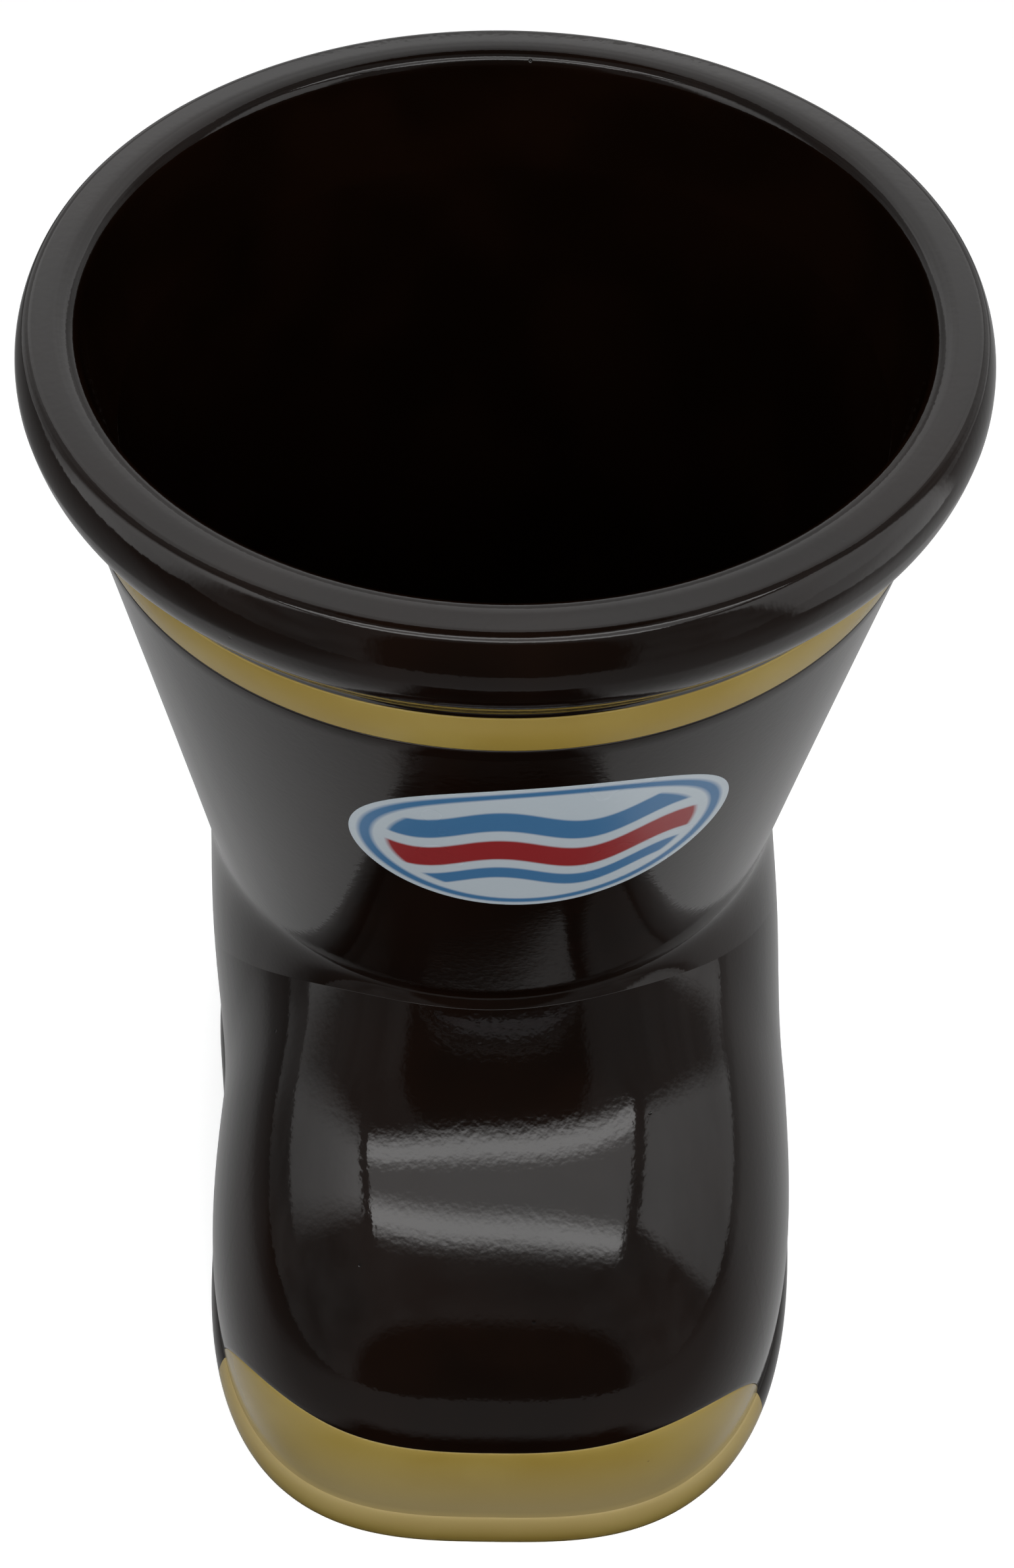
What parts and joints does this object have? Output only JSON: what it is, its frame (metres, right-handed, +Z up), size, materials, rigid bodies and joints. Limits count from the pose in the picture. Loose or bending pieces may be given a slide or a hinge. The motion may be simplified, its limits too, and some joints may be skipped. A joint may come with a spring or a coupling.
{
  "type": "boot-shaped mug",
  "caption": "Ceramic mug in the shape of a boot: a wide round mouth with a rolled rim, a flaring leg that leans a little to the heel, a hollow domed foot and a flat outsole.",
  "frame": {"origin": "on the standing face, under the middle of the mug's box", "axes": "+Z up through the mouth, -Y towards the toe, +X to the outer side of the boot"},
  "size_m": [0.09, 0.1176, 0.13],
  "materials": {
    "brown_glaze": "gloss dark brown glaze",
    "tan_glaze": "gloss tan glaze",
    "transfer_ink": "fired transfer print under a clear gloss"
  },
  "bodies": {
    "root": {"rim_roll": "brown_glaze", "cuff_band": "tan_glaze", "leg": "brown_glaze", "foot": "brown_glaze", "toe_bumper": "tan_glaze", "outsole": "brown_glaze", "front_transfer": "transfer_ink"}
  },
  "joints": []
}
